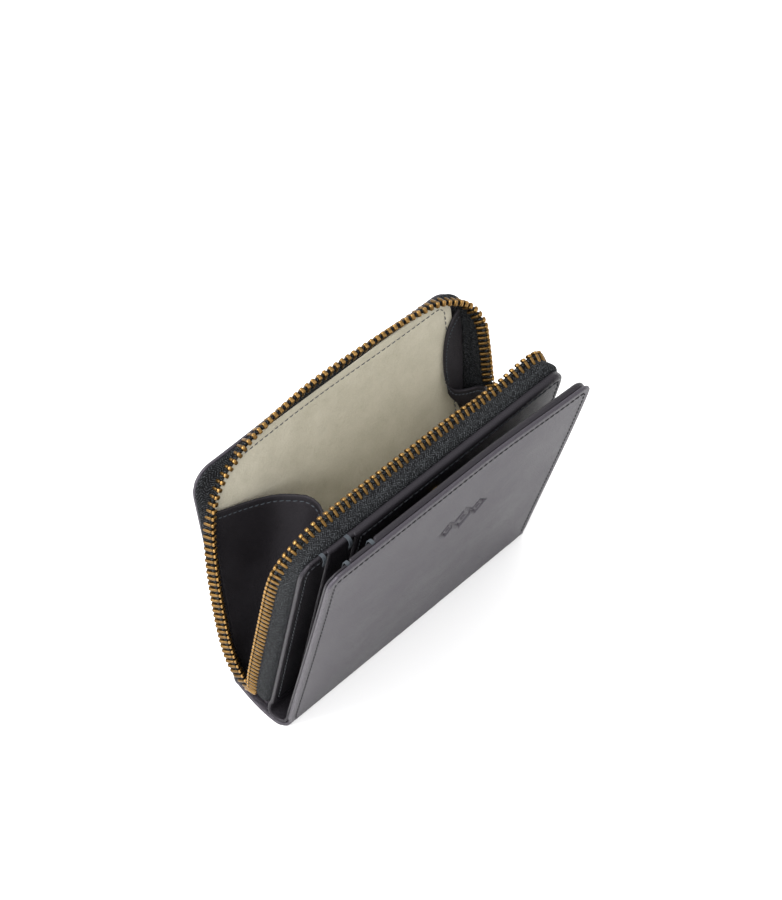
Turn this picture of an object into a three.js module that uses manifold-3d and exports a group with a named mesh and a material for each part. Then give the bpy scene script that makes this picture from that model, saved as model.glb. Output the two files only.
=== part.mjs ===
// Zip around wallet, standing on its spine and held open: front cover, middle section with the zip compartment
// behind it, back panel on its own hinge, folding gussets, brass zip with slider and puller. Millimetres, +Z up,
// X along the width, the back panel towards +Y.
import * as THREE from 'three';
import Module from 'manifold-3d';
import { mergeVertices } from 'three/addons/utils/BufferGeometryUtils.js';

const wasm = await Module();
wasm.setup();

// ---- driving sizes ----
const WIDTH = 108;            // leather width of the middle section and back panel
const PANEL_HEIGHT = 91;      // middle section, measured up its own face
const BACK_HEIGHT = 93;       // back panel, measured up its own face
const COVER_WIDTH = 107;
const COVER_HEIGHT = 96.5;
const BASE_DEPTH = 24.8;      // outside face to outside face at the bottom fold
const LEATHER = 1.4;          // outer leather
const LAYER = 0.7;            // one card layer
const CARD_BASE = 1.0;        // backing layer behind the card layers
const LINING = 0.8;
const CORNER_R = 5;           // leather corners
const HINGE_R = 1.7;          // rounded fold along each bottom edge
const COVER_LEAN = -12.7;     // degrees, towards +Y is positive
const PANEL_LEAN = -11.2;
const BACK_LEAN = 8.1;
const COVER_TO_PANEL = 6.1;   // outside of the cover to the card face, at the bottom
const SLOT_1 = 20;            // card layer edges, from the left end
const SLOT_2 = 10;
const TAPE = 0.9;             // zip tape thickness
const TAPE_SHORT = 1.2;       // tape ends this far short of the tooth row's centre, more where it slants
const TAPE_INSET = 0.8;       // tape centre line inside the leather edge
const ROW_FRONT = 6.2;        // tooth row behind the card face, at the bottom
const ROW_FLARE = 0.037;      // how much further it stands off per mm of height
const ROW_BACK = 4.6;         // tooth row in from the outside face of the back panel
const ROW_LEFT_R = 21;        // corner radii of the tooth rows
const ROW_RIGHT_R = 15;
const PITCH = 2.35;           // tooth pitch
const TOOTH = 1.3;            // tooth length along the row
const SLIDER_AT = 31;         // slider height on the right-hand run
const SLIDER_LENGTH = 9;
const PULLER_LENGTH = 22;
const GUSSET_INSET = 4.2;    // seam line in from the leather's end
const GUSSET_TOP = 71;
const GUSSET_FOOT = 9;
const GUSSET_OPEN_FOOT = 15.0;  // space between the two linings at GUSSET_FOOT
const GUSSET_SPREAD = 0.33;     // how much that space widens per mm of height

// ---- frame: the origin is the middle of the box, at the bottom ----
const X_SHIFT = -2.1;
const Y_SHIFT = -2.257;
const COVER_Y = -BASE_DEPTH / 2 + HINGE_R + 6.3;
const PANEL_Y = COVER_Y - HINGE_R + COVER_TO_PANEL;
const BACK_Y = COVER_Y + BASE_DEPTH - 2 * HINGE_R;
const HINGE_Z = HINGE_R + 0.1;
const PANEL_Z = 1.5;

const COLOURS = {
  leather: [0x2b292d, 0.55, 0], card: [0x29272b, 0.6, 0], lining: [0xcfc6ae, 0.9, 0],
  gusset: [0x2c2829, 0.65, 0], tape: [0x2a2f33, 0.85, 0], brass: [0xa9793a, 0.35, 1],
  thread: [0x6b7883, 0.8, 0], foil: [0xc9a24e, 0.3, 1],
};
const materials = Object.fromEntries(Object.entries(COLOURS).map(([key, [color, roughness, metalness]]) =>
  [key, new THREE.MeshStandardMaterial({ color, roughness, metalness })]));

// ---- helpers ----
const deg = THREE.MathUtils.degToRad;

// A panel's own coordinates are (x, v through its thickness towards +Y, h up its face).
function place(geometry, y, z, lean) {
  return geometry.rotateX(-deg(lean)).translate(X_SHIFT, y + Y_SHIFT, z);
}
const inCover = (g) => place(g, COVER_Y, HINGE_Z, COVER_LEAN);
const inPanel = (g) => place(g, PANEL_Y, PANEL_Z, PANEL_LEAN);
const inBack = (g) => place(g, BACK_Y, HINGE_Z, BACK_LEAN);
const inRoot = (g) => place(g, 0, 0, 0);

// Flat plate with rounded top corners, between v0 and v1.
function plate(x0, x1, h0, h1, v0, v1, rLeft, rRight) {
  const s = new THREE.Shape();
  s.moveTo(x0, h0);
  s.lineTo(x1, h0);
  if (rRight > 0) {
    s.lineTo(x1, h1 - rRight);
    s.absarc(x1 - rRight, h1 - rRight, rRight, 0, Math.PI / 2, false);
  } else s.lineTo(x1, h1);
  if (rLeft > 0) {
    s.lineTo(x0 + rLeft, h1);
    s.absarc(x0 + rLeft, h1 - rLeft, rLeft, Math.PI / 2, Math.PI, false);
  } else s.lineTo(x0, h1);
  s.closePath();
  const g = new THREE.ExtrudeGeometry(s, { depth: v1 - v0, bevelEnabled: false, curveSegments: 8 });
  return g.rotateX(Math.PI / 2).translate(0, v1, 0);
}

const box = (x0, x1, y0, y1, z0, z1) =>
  new THREE.BoxGeometry(x1 - x0, y1 - y0, z1 - z0).translate((x0 + x1) / 2, (y0 + y1) / 2, (z0 + z1) / 2);

const barX = (x0, x1, r) =>
  new THREE.CylinderGeometry(r, r, x1 - x0, 24).rotateZ(Math.PI / 2).translate((x0 + x1) / 2, 0, 0);

// Closed solid through a run of sections, each a loop of the same number of points.
function loft(sections) {
  const n = sections[0].length;
  const pos = sections.flat(2);
  const index = [];
  for (let i = 0; i + 1 < sections.length; i++) {
    for (let j = 0; j < n; j++) {
      const a = i * n + j, b = i * n + (j + 1) % n;
      index.push(a, b, b + n, a, b + n, a + n);
    }
  }
  const last = (sections.length - 1) * n;
  for (let j = 1; j + 1 < n; j++) {
    index.push(0, j + 1, j);
    index.push(last, last + j, last + j + 1);
  }
  const g = new THREE.BufferGeometry();
  g.setAttribute('position', new THREE.Float32BufferAttribute(pos, 3));
  g.setIndex(index);
  if (volume(g) < 0) g.setIndex(index.reverse());
  g.computeVertexNormals();
  return g;
}

function volume(g) {
  const p = g.attributes.position, ix = g.index.array;
  const a = new THREE.Vector3(), b = new THREE.Vector3(), c = new THREE.Vector3();
  let v = 0;
  for (let i = 0; i < ix.length; i += 3) {
    a.fromBufferAttribute(p, ix[i]);
    b.fromBufferAttribute(p, ix[i + 1]);
    c.fromBufferAttribute(p, ix[i + 2]);
    v += a.dot(b.cross(c));
  }
  return v;
}

function toManifold(geometry) {
  const bare = new THREE.BufferGeometry();
  bare.setAttribute('position', geometry.attributes.position.clone());
  if (geometry.index) bare.setIndex(geometry.index.clone());
  const g = mergeVertices(bare, 1e-4);
  const mesh = new wasm.Mesh({
    numProp: 3,
    vertProperties: new Float32Array(g.attributes.position.array),
    triVerts: new Uint32Array(g.index.array),
  });
  return new wasm.Manifold(mesh);
}

function fromManifold(solid) {
  const m = solid.getMesh();
  const g = new THREE.BufferGeometry();
  g.setAttribute('position', new THREE.BufferAttribute(new Float32Array(m.vertProperties), 3));
  g.setIndex(new THREE.BufferAttribute(new Uint32Array(m.triVerts), 1));
  const flat = g.toNonIndexed();
  flat.computeVertexNormals();
  return flat;
}

const union = (first, ...rest) =>
  fromManifold(rest.reduce((solid, g) => solid.add(toManifold(g)), toManifold(first)));
const cut = (first, ...rest) =>
  fromManifold(rest.reduce((solid, g) => solid.subtract(toManifold(g)), toManifold(first)));

const bodies = {};
function part(body, name, geometry, material) {
  const mesh = new THREE.Mesh(geometry, materials[material]);
  mesh.name = name;
  bodies[body].add(mesh);
}

// ---- the path the zip follows round a panel: up the left side, across the top, down the right ----
function zipPoint(path, segment, f) {
  const { half, top, left, right, foot } = path;
  if (segment === 0) return [-half, foot + f * (top - left - foot), -1, 0];
  if (segment === 1) {
    const a = Math.PI - f * Math.PI / 2;
    return [-half + left + left * Math.cos(a), top - left + left * Math.sin(a), Math.cos(a), Math.sin(a)];
  }
  if (segment === 2) return [-half + left + f * (2 * half - left - right), top, 0, 1];
  if (segment === 3) {
    const a = Math.PI / 2 - f * Math.PI / 2;
    return [half - right + right * Math.cos(a), top - right + right * Math.sin(a), Math.cos(a), Math.sin(a)];
  }
  return [half, top - right - f * (top - right - foot), 1, 0];
}

function zipLengths({ half, top, left, right, foot }) {
  return [top - left - foot, Math.PI / 2 * left, 2 * half - left - right, Math.PI / 2 * right, top - right - foot];
}

function zipAt(path, s) {
  const lengths = zipLengths(path);
  let k = 0;
  while (k < 4 && s > lengths[k]) s -= lengths[k++];
  return zipPoint(path, k, Math.min(1, s / lengths[k]));
}

// Tape: a strip standing on the leather edge and reaching to just short of the tooth row.
function tape(edge, row, standOff, from, side) {
  const sections = [];
  const steps = [1, 10, 1, 10, 1];
  for (let k = 0; k < 5; k++) {
    for (let i = k === 0 ? 0 : 1; i <= steps[k]; i++) {
      const f = i / steps[k];
      const [bx, bh, nx, nh] = zipPoint(edge, k, f);
      const [tx, th] = zipPoint(row, k, f);
      const base = new THREE.Vector3(bx, from, bh);
      const tip = new THREE.Vector3(tx, standOff(th), th);
      const dir = tip.clone().sub(base).normalize();
      const slant = Math.hypot(dir.x, dir.z);
      tip.addScaledVector(dir, -(TAPE_SHORT + 2 * slant));
      const n = new THREE.Vector3(nx, 0, nh).multiplyScalar(TAPE / 2);
      const loop = [base.clone().add(n), tip.clone().add(n), tip.clone().sub(n), base.clone().sub(n)];
      sections.push(loop.map((p) => p.toArray()));
    }
  }
  return loft(side < 0 ? sections.reverse() : sections);
}

// Tooth row: a thin core with one tooth after another standing out of it.
function teeth(row, standOff, side) {
  const total = zipLengths(row).reduce((a, b) => a + b);
  const count = Math.floor((total - TOOTH) / PITCH);
  const start = TOOTH / 2;
  const sections = [];
  const section = (s, half, low, high) => {
    const [x, h, nx, nh] = zipAt(row, s);
    const v = standOff(h);
    sections.push([[-1, low], [1, low], [1, high], [-1, high]].map(([u, w]) =>
      [x + u * half * nx, v + side * w, h + u * half * nh]));
  };
  for (let i = 0; i <= count; i++) {
    const a = start + i * PITCH - TOOTH / 2, b = a + TOOTH;
    if (i > 0) section(a, 0.7, -0.8, 0.8);
    section(a, 1.4, -1.0, 1.8);
    section(b, 1.4, -1.0, 1.8);
    if (i < count) section(b, 0.7, -0.8, 0.8);
  }
  return loft(sections);
}

// Clip round the first tooth of a row.
function stop(row, standOff, s0, s1) {
  const sections = [s0, s1].map((s) => {
    const [x, h, nx, nh] = zipAt(row, s);
    const v = standOff(h);
    return [[-1, -1], [1, -1], [1, 1], [-1, 1]].map(([u, w]) => [x + u * 1.5 * nx, v + w * 1.5, h + u * 1.5 * nh]);
  });
  return loft(sections);
}

// Gusset half: a plate from its seam line in to the fold line, both given as [x, v, h] in the panel's coordinates.
function flap(seamLow, seamHigh, foldLow, foldHigh, dip, thickness) {
  const a = new THREE.Vector3(...seamLow), b = new THREE.Vector3(...seamHigh);
  const c = new THREE.Vector3(...foldHigh), d = new THREE.Vector3(...foldLow);
  const normal = b.clone().sub(a).cross(d.clone().sub(a)).normalize().multiplyScalar(thickness);
  const sections = [];
  for (let i = 0; i <= 8; i++) {
    const f = i / 8;
    const low = a.clone().lerp(d, f), high = b.clone().lerp(c, f);
    high.addScaledVector(high.clone().sub(low).normalize(), -dip * Math.sin(Math.PI * f));
    sections.push([low, high, high.clone().add(normal), low.clone().add(normal)].map((p) => p.toArray()));
  }
  return loft(sections);
}

// ---- the two halves of the zip path ----
const halfRow = WIDTH / 2 + 0.2;
const frontRow = { half: halfRow, top: PANEL_HEIGHT, left: ROW_LEFT_R, right: ROW_RIGHT_R, foot: 5 };
const backRow = { half: halfRow, top: BACK_HEIGHT - 2, left: ROW_RIGHT_R, right: ROW_RIGHT_R - 2, foot: 5 };
const edgeOf = (height, foot) => ({
  half: WIDTH / 2 - TAPE_INSET, top: height - TAPE_INSET, left: CORNER_R - TAPE_INSET,
  right: CORNER_R - TAPE_INSET, foot,
});
const frontStand = (h) => ROW_FRONT + ROW_FLARE * h;
const backStand = () => HINGE_R - ROW_BACK;

function makeSpine() {
  const y0 = COVER_Y + HINGE_R + 0.3, y1 = BACK_Y - HINGE_R - 0.3, half = COVER_WIDTH / 2;
  part('wallet', 'spine_leather', inRoot(box(-half, half, y0, y1, 0, LEATHER)), 'leather');
  const front = inRoot(box(-half + 1, half - 1, y0 + 0.2, PANEL_Y - 0.6, LEATHER, LEATHER + LAYER));
  part('wallet', 'gutter_lining', front, 'card');
  const floorY = PANEL_Y + 3.9;
  const floor = inRoot(box(-half + 4, half - 4, floorY, y1 - 0.4, LEATHER, LEATHER + LINING));
  part('wallet', 'compartment_floor', floor, 'lining');
}

// Everything that meets the spine is trimmed level with its upper face.
const underSpine = () => inRoot(box(-90, 90, -40, 60, -20, LEATHER));

function makeMiddle() {
  const half = WIDTH / 2, top = PANEL_HEIGHT;
  const trimmed = (g) => cut(inPanel(g), underSpine());
  const front = plate(-half + SLOT_1, half, -3, top - 0.6, 0, LAYER, 0, CORNER_R);
  const second = plate(-half + SLOT_2, half, -3, top - 0.3, LAYER, 2 * LAYER, 0, CORNER_R);
  const back = 2 * LAYER + CARD_BASE;
  const base = plate(-half, half, -3, top, 2 * LAYER, back, CORNER_R, CORNER_R);
  part('wallet', 'panel_card_front', trimmed(front), 'card');
  part('wallet', 'panel_card_second', trimmed(second), 'card');
  part('wallet', 'panel_card_base', trimmed(base), 'leather');
  const lining = plate(-half + 2.6, half - 2.6, -3, top - 2.6, back, back + LINING, CORNER_R - 2, CORNER_R - 2);
  part('wallet', 'panel_lining', trimmed(lining), 'lining');
  part('wallet', 'panel_tape', inPanel(tape(edgeOf(top, 2), frontRow, frontStand, back, 1)), 'tape');
  part('wallet', 'panel_teeth', inPanel(teeth(frontRow, frontStand, 1)), 'brass');
  part('wallet', 'panel_top_stop', inPanel(stop({ ...frontRow, foot: 1.5 }, frontStand, 0.2, 3.0)), 'brass');
  bartacks('wallet', 'panel_bartack', inPanel, -half, top - 0.3, top - 0.6, 0, 2 * LAYER);
  const foil = new THREE.CylinderGeometry(1.6, 1.6, 0.1, 6).scale(1.5, 1, 0.8).translate(0, -0.05, 80);
  part('wallet', 'foil_stamp', inPanel(foil), 'foil');
}

// Two stitched bar tacks, each riding over the top of a card layer edge.
function bartacks(body, name, into, left, topSecond, topFront, face, back) {
  const spots = [[left + SLOT_1 + 1.2, topFront, face], [left + SLOT_2 + 1.2, topSecond, face + (back - face) / 2]];
  spots.forEach(([x, top, v], i) => {
    const outer = box(x - 0.6, x + 0.6, v - 0.5, v, top - 4.5, top + 0.1);
    part(body, `${name}_${i + 1}`, into(outer), 'thread');
  });
}

function makeCover() {
  const half = COVER_WIDTH / 2, top = COVER_HEIGHT, out = -HINGE_R, v1 = out + LEATHER;
  const sheet = plate(-half, half, 0, top, out, v1, CORNER_R, CORNER_R);
  const roll = barX(-half, half, HINGE_R);
  part('front_cover', 'cover_leather', inCover(union(sheet, roll)), 'leather');
  const v2 = v1 + CARD_BASE, v3 = v2 + LAYER, v4 = v3 + LAYER, low = HINGE_R + 1.2;
  const inner = plate(-half + 0.8, half - 0.8, low, top - 0.8, v1, v2, CORNER_R, CORNER_R);
  const second = plate(-half + SLOT_2, half - 0.8, low + 1, top - 1.1, v2, v3, 0, CORNER_R);
  const front = plate(-half + SLOT_1, half - 0.8, low + 2, top - 1.4, v3, v4, 0, CORNER_R);
  part('front_cover', 'cover_card_base', inCover(inner), 'leather');
  part('front_cover', 'cover_card_second', inCover(second), 'card');
  part('front_cover', 'cover_card_front', inCover(front), 'card');
  const into = (g) => inCover(g);
  const spots = [[-half + SLOT_1 + 1.2, top - 1.4, v4], [-half + SLOT_2 + 1.2, top - 1.1, v3]];
  spots.forEach(([x, h, v], i) => {
    part('front_cover', `cover_bartack_${i + 1}`, into(box(x - 0.6, x + 0.6, v, v + 0.5, h - 4.5, h + 0.1)), 'thread');
  });
}

function makeBack() {
  const half = WIDTH / 2, top = BACK_HEIGHT, out = HINGE_R, v1 = out - LEATHER;
  const sheet = plate(-half, half, 0, top, v1, out, CORNER_R + 3, CORNER_R + 3);
  const roll = barX(-half, half, HINGE_R);
  part('back_panel', 'back_leather', inBack(union(sheet, roll)), 'leather');
  const lining = plate(-half + 2.6, half - 2.6, HINGE_R + 1.2, top - 2.6, v1 - LINING, v1, CORNER_R, CORNER_R);
  part('back_panel', 'back_lining', inBack(lining), 'lining');
  const edge = edgeOf(top, 3);
  edge.left = edge.right = CORNER_R + 3 - TAPE_INSET;
  part('back_panel', 'back_tape', inBack(tape(edge, backRow, backStand, v1, -1)), 'tape');
  part('back_panel', 'back_teeth', inBack(teeth(backRow, backStand, -1)), 'brass');
  part('back_panel', 'back_top_stop', inBack(stop({ ...backRow, foot: 1.5 }, backStand, 0.2, 3.0)), 'brass');
}

// Each gusset is two plates meeting at an inward fold; the rear one hangs on the back panel, the front one on the
// middle section. side: -1 left, +1 right. inward: how far in the fold reaches at the top.
function makeGusset(side, label, inward, rearShare) {
  const seam = side * (WIDTH / 2 - GUSSET_INSET);
  const foldX = (f) => seam - side * f;
  const gap = (h) => (GUSSET_OPEN_FOOT + (h - GUSSET_FOOT) * GUSSET_SPREAD) - 0.9;
  const slopeRear = gap(GUSSET_TOP) * rearShare / inward;
  const slopeFront = gap(GUSSET_TOP) * (1 - rearShare) / inward;
  const low = gap(GUSSET_FOOT) / (slopeRear + slopeFront);
  const vBack = HINGE_R - LEATHER - LINING - 0.3;
  const rearLoop = flap([seam, vBack, GUSSET_FOOT], [seam, vBack, GUSSET_TOP + 4],
    [foldX(low), vBack - low * slopeRear, GUSSET_FOOT],
    [foldX(inward), vBack - inward * slopeRear, GUSSET_TOP - 1], 1.2, side * 1.0);
  part(`gusset_${label}_rear`, `gusset_${label}_rear`, inBack(rearLoop), 'gusset');
  const vFront = 2 * LAYER + CARD_BASE + LINING + 0.3;
  const frontLoop = flap([seam, vFront, GUSSET_FOOT], [seam, vFront, GUSSET_TOP],
    [foldX(low), vFront + low * slopeFront, GUSSET_FOOT],
    [foldX(inward), vFront + inward * slopeFront, GUSSET_TOP], 1.2, -side * 1.0);
  part(`gusset_${label}_front`, `gusset_${label}_front`, inPanel(frontLoop), 'gusset');
}

// The slider runs on the right-hand row. Its own coordinates start at the row's centre, at its lower end.
function makeSlider() {
  const len = SLIDER_LENGTH, mid = len / 2, wing = 1.8, skin = 1.1, face = wing + skin;
  const onRow = (g) => inPanel(g.rotateX(Math.atan(ROW_FLARE) * -1)
    .translate(halfRow, frontStand(SLIDER_AT), SLIDER_AT));
  const outer = box(wing, face, -2.9, 4.2, 0, len);
  const inner = box(-face, -wing, -2.9, 4.2, 0, len);
  const post = box(-wing - 0.4, wing + 0.4, 2.3, 3.5, 0, len);
  const lips = [1, -1].map((s) => box(s * 1.6 - 0.4, s * 1.6 + 0.4, -2.9, -1.6, 0, len));
  part('slider', 'slider_body', onRow(union(outer, inner, post, ...lips)), 'brass');
  const arch = cut(box(face, face + 2.8, -0.1, 1.5, mid - 3.6, mid + 3.6),
    box(face - 0.1, face + 1.6, -1, 2.5, mid - 2.2, mid + 2.2));
  part('slider', 'slider_bridge', onRow(arch), 'brass');
  const tab = box(face + 0.3, face + 1.3, -2.2, 3.6, mid + 1.8 - PULLER_LENGTH, mid + 1.8);
  const eye = box(face, face + 1.6, -0.6, 2.0, mid - 4.6, mid + 0.6);
  part('puller', 'puller_tab', onRow(cut(tab, eye)), 'brass');
}

// ---- assembly ----
const root = new THREE.Group();
root.name = 'wallet';
bodies.wallet = root;
const tree = {
  front_cover: 'wallet', back_panel: 'wallet', gusset_left_front: 'wallet', gusset_right_front: 'wallet',
  gusset_left_rear: 'back_panel', gusset_right_rear: 'back_panel', slider: 'wallet', puller: 'slider',
};
for (const [name, parent] of Object.entries(tree)) {
  bodies[name] = new THREE.Group();
  bodies[name].name = `${name}_body`;
  bodies[parent].add(bodies[name]);
}
makeSpine();
makeMiddle();
makeCover();
makeBack();
makeGusset(-1, 'left', 27, 0.36);
makeGusset(1, 'right', 11, 0.28);
makeSlider();

export default root;
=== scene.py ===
# Looks of the zip around wallet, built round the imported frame:
# leather, suede lining, woven zip tape and brass teeth.
import math

import bpy
from mathutils import Matrix, Vector


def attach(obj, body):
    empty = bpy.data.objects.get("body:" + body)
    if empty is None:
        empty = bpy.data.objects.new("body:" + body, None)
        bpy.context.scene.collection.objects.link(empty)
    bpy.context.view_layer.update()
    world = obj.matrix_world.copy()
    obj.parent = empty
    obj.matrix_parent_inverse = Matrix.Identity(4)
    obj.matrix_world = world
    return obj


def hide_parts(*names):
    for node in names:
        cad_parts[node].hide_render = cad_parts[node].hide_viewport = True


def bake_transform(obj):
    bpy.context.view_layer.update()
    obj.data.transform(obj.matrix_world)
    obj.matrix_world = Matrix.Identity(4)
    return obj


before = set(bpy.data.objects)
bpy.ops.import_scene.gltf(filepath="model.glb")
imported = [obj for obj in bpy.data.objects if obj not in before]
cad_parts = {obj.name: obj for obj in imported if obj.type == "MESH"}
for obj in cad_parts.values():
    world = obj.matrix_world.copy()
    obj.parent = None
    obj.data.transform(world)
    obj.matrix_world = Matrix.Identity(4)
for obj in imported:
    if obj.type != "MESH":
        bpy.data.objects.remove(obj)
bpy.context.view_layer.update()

# ---- driving sizes, in millimetres and degrees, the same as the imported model's ----
MM = 0.001
WIDTH = 108
PANEL_HEIGHT = 91
BACK_HEIGHT = 93
COVER_WIDTH = 107
COVER_HEIGHT = 96.5
LEATHER = 1.4
LAYER = 0.7
CARD_BASE = 1.0
LINING = 0.8
FOLD_R = 1.7
X_SHIFT, Y_SHIFT = -2.1, -2.257
COVER_Y, PANEL_Y, BACK_Y = -4.4, 0.0, 17.0
FOLD_Z, PANEL_Z = 1.8, 1.5
COVER_LEAN, PANEL_LEAN, BACK_LEAN = -12.7, -11.2, 8.1
SLOT_1, SLOT_2 = 20, 10  # how far the front and the second card layer start in from the left end
# how far the right-hand tooth row lies behind the panel's face: at its foot, and more for each mm up
ROW_FRONT, ROW_FLARE = 6.2, 0.037
PITCH = 2.35
SLIDER_AT = 31
STITCH_IN, CARD_STITCH_IN, LINING_STITCH_IN = 2.6, 2.4, 3.0
LAYER_FOOT = 4.4  # where the turned card layers start above their fold
COVER_LAYER_DROP = 0.9  # the cover's card layers end this much below the hide
HIDE_TAIL = -22.2  # end of the cover's strip of hide, along the spine
BACK_DROP = 1.9  # the back hide's top edge is this much lower than the back panel's full height
PLACES = {
    "cover": (COVER_Y, FOLD_Z, COVER_LEAN),
    "panel": (PANEL_Y, PANEL_Z, PANEL_LEAN),
    "back": (BACK_Y, FOLD_Z, BACK_LEAN),
}
BODY = {"cover": "front_cover", "panel": "wallet"}


def at(place, x, v, h):
    """A point (x, v through the thickness, h up the face) of a panel, as metres in the row frame."""
    y0, z0, lean = PLACES[place]
    c, s = math.cos(math.radians(lean)), math.sin(math.radians(lean))
    return Vector((x + X_SHIFT, y0 + Y_SHIFT + v * c + h * s, z0 - v * s + h * c)) * MM


# ---- material building ----
class Nodes:
    """Short ways to add shader nodes to one material."""

    def __init__(self, name):
        self.material = bpy.data.materials.new(name)
        self.material.use_nodes = True
        self.tree = self.material.node_tree
        self.bsdf = self.tree.nodes["Principled BSDF"]
        self.coords = self.tree.nodes.new("ShaderNodeTexCoord").outputs["Object"]

    def link(self, source, target):
        self.tree.links.new(source, target)

    def value(self, socket, value):
        if isinstance(value, (int, float)):
            socket.default_value = value
        else:
            self.link(value, socket)

    def math(self, operation, a, b=0.0):
        node = self.tree.nodes.new("ShaderNodeMath")
        node.operation = operation
        for socket, value in zip(node.inputs, (a, b)):
            self.value(socket, value)
        return node.outputs[0]

    def noise(self, scale, detail=3.0, rough=0.5):
        node = self.tree.nodes.new("ShaderNodeTexNoise")
        node.inputs["Scale"].default_value = scale
        node.inputs["Detail"].default_value = detail
        node.inputs["Roughness"].default_value = rough
        self.link(self.coords, node.inputs["Vector"])
        return node.outputs["Fac"]

    def cells(self, scale):
        """Distance from the borders between irregular cells."""
        node = self.tree.nodes.new("ShaderNodeTexVoronoi")
        node.feature = "DISTANCE_TO_EDGE"
        node.inputs["Scale"].default_value = scale
        self.link(self.coords, node.inputs["Vector"])
        return node.outputs["Distance"]

    def attribute(self, name):
        node = self.tree.nodes.new("ShaderNodeAttribute")
        node.attribute_name = name
        return node.outputs["Fac"]

    def uv(self):
        node = self.tree.nodes.new("ShaderNodeSeparateXYZ")
        source = self.tree.nodes.new("ShaderNodeUVMap")
        source.uv_map = "UVMap"
        self.link(source.outputs["UV"], node.inputs["Vector"])
        return node.outputs["X"], node.outputs["Y"]

    def remap(self, value, low, high, to_low, to_high):
        node = self.tree.nodes.new("ShaderNodeMapRange")
        names = ("From Min", "From Max", "To Min", "To Max")
        for name, number in zip(names, (low, high, to_low, to_high)):
            node.inputs[name].default_value = number
        self.value(node.inputs["Value"], value)
        return node.outputs["Result"]

    def mix(self, fac, a, b):
        node = self.tree.nodes.new("ShaderNodeMix")
        node.data_type = "RGBA"
        self.value(node.inputs["Factor"], fac)
        for socket, colour in ((node.inputs["A"], a), (node.inputs["B"], b)):
            if isinstance(colour, tuple):
                socket.default_value = (*colour, 1.0)
            else:
                self.link(colour, socket)
        return node.outputs["Result"]

    def bump(self, height, distance, strength, below=None):
        node = self.tree.nodes.new("ShaderNodeBump")
        node.inputs["Strength"].default_value = strength
        node.inputs["Distance"].default_value = distance
        self.link(height, node.inputs["Height"])
        if below is not None:
            self.link(below, node.inputs["Normal"])
        return node.outputs["Normal"]

    def finish(self, **inputs):
        for name, value in inputs.items():
            socket = self.bsdf.inputs[name.replace("_", " ")]
            if isinstance(value, tuple):
                socket.default_value = (*value, 1.0) if len(value) == 3 else value
            else:
                self.value(socket, value)
        return self.material


def leather(name, dark, light, rough, shine, grain=1.0):
    """Fine pebbled grain, soft dark and light areas, and paler, smoother wear along the edges."""
    n = Nodes(name)
    fine = n.noise(5200, 2.0)
    soft = n.noise(38, 3.0)
    pores = n.math("MULTIPLY", n.remap(n.cells(1500), 0.0, 0.25, 0.0, 1.0), 0.7)
    height = n.math("ADD", pores, n.math("MULTIPLY", fine, 0.5))
    edge = n.attribute("edge")
    colour = n.mix(n.remap(soft, 0.35, 0.65, 0.0, 1.0), dark, light)
    colour = n.mix(n.math("MULTIPLY", edge, 0.4), colour, tuple(c * 2.0 for c in light))
    roughness = n.remap(soft, 0.3, 0.7, rough - 0.05, rough + 0.05)
    roughness = n.math("ADD", roughness, n.math("MULTIPLY", edge, -0.12))
    normal = n.bump(height, 0.00009 * grain, 0.8)
    normal = n.bump(n.noise(160, 2.0), 0.0003, 0.22, below=normal)
    return n.finish(Base_Color=colour, Roughness=roughness, Normal=normal, Specular_IOR_Level=shine,
                    Specular_Tint=(0.96, 0.9, 1.0))


def suede():
    """Cream nap in brushed patches."""
    n = Nodes("cream_suede")
    patch = n.noise(90, 5.0, 0.65)
    nap = n.noise(2600, 3.0, 0.7)
    colour = n.mix(n.remap(patch, 0.3, 0.7, 0.0, 1.0), (0.355, 0.33, 0.255), (0.46, 0.43, 0.345))
    colour = n.mix(n.math("MULTIPLY", n.remap(nap, 0.35, 0.7, 0.0, 1.0), 0.35), colour, (0.56, 0.53, 0.435))
    normal = n.bump(nap, 0.0002, 0.7)
    normal = n.bump(n.noise(520, 3.0, 0.6), 0.0005, 0.45, below=normal)
    return n.finish(Base_Color=colour, Roughness=0.93, Normal=normal, Sheen_Weight=0.15,
                    Sheen_Roughness=0.45, Specular_IOR_Level=0.15)


def woven_tape():
    """Herringbone: fine ribs that change direction from one column to the next. UVs are in millimetres."""
    n = Nodes("woven_tape")
    along, across = n.uv()
    zig = n.math("PINGPONG", across, 1.2)
    ribs = n.math("FRACT", n.math("MULTIPLY", n.math("ADD", along, zig), 1 / 0.72))
    rib = n.math("POWER", n.math("SINE", n.math("MULTIPLY", ribs, math.pi)), 2.0)
    threads = n.noise(2300, 2.0)
    speck = n.math("MULTIPLY", rib, n.remap(threads, 0.42, 0.66, 0.0, 1.0))
    colour = n.mix(rib, (0.0008, 0.0009, 0.0012), (0.0055, 0.0062, 0.0074))
    colour = n.mix(speck, colour, (0.055, 0.059, 0.063))
    height = n.math("ADD", rib, n.math("MULTIPLY", threads, 0.5))
    return n.finish(Base_Color=colour, Roughness=0.85, Normal=n.bump(height, 0.0002, 0.8),
                    Specular_IOR_Level=0.12)


def antique_brass():
    """Dark in the hollows and bright where it is rubbed."""
    n = Nodes("antique_brass")
    wear = n.attribute("edge")
    patch = n.noise(700, 3.0, 0.6)
    worn = n.math("MULTIPLY", n.remap(wear, 0.15, 0.9, 0.0, 1.0), n.remap(patch, 0.3, 0.6, 0.55, 1.0))
    colour = n.mix(worn, (0.028, 0.016, 0.006), (0.33, 0.19, 0.062))
    roughness = n.remap(worn, 0.0, 1.0, 0.5, 0.3)
    return n.finish(Base_Color=colour, Metallic=1.0, Roughness=roughness, Normal=n.bump(patch, 0.00004, 0.4))


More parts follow.
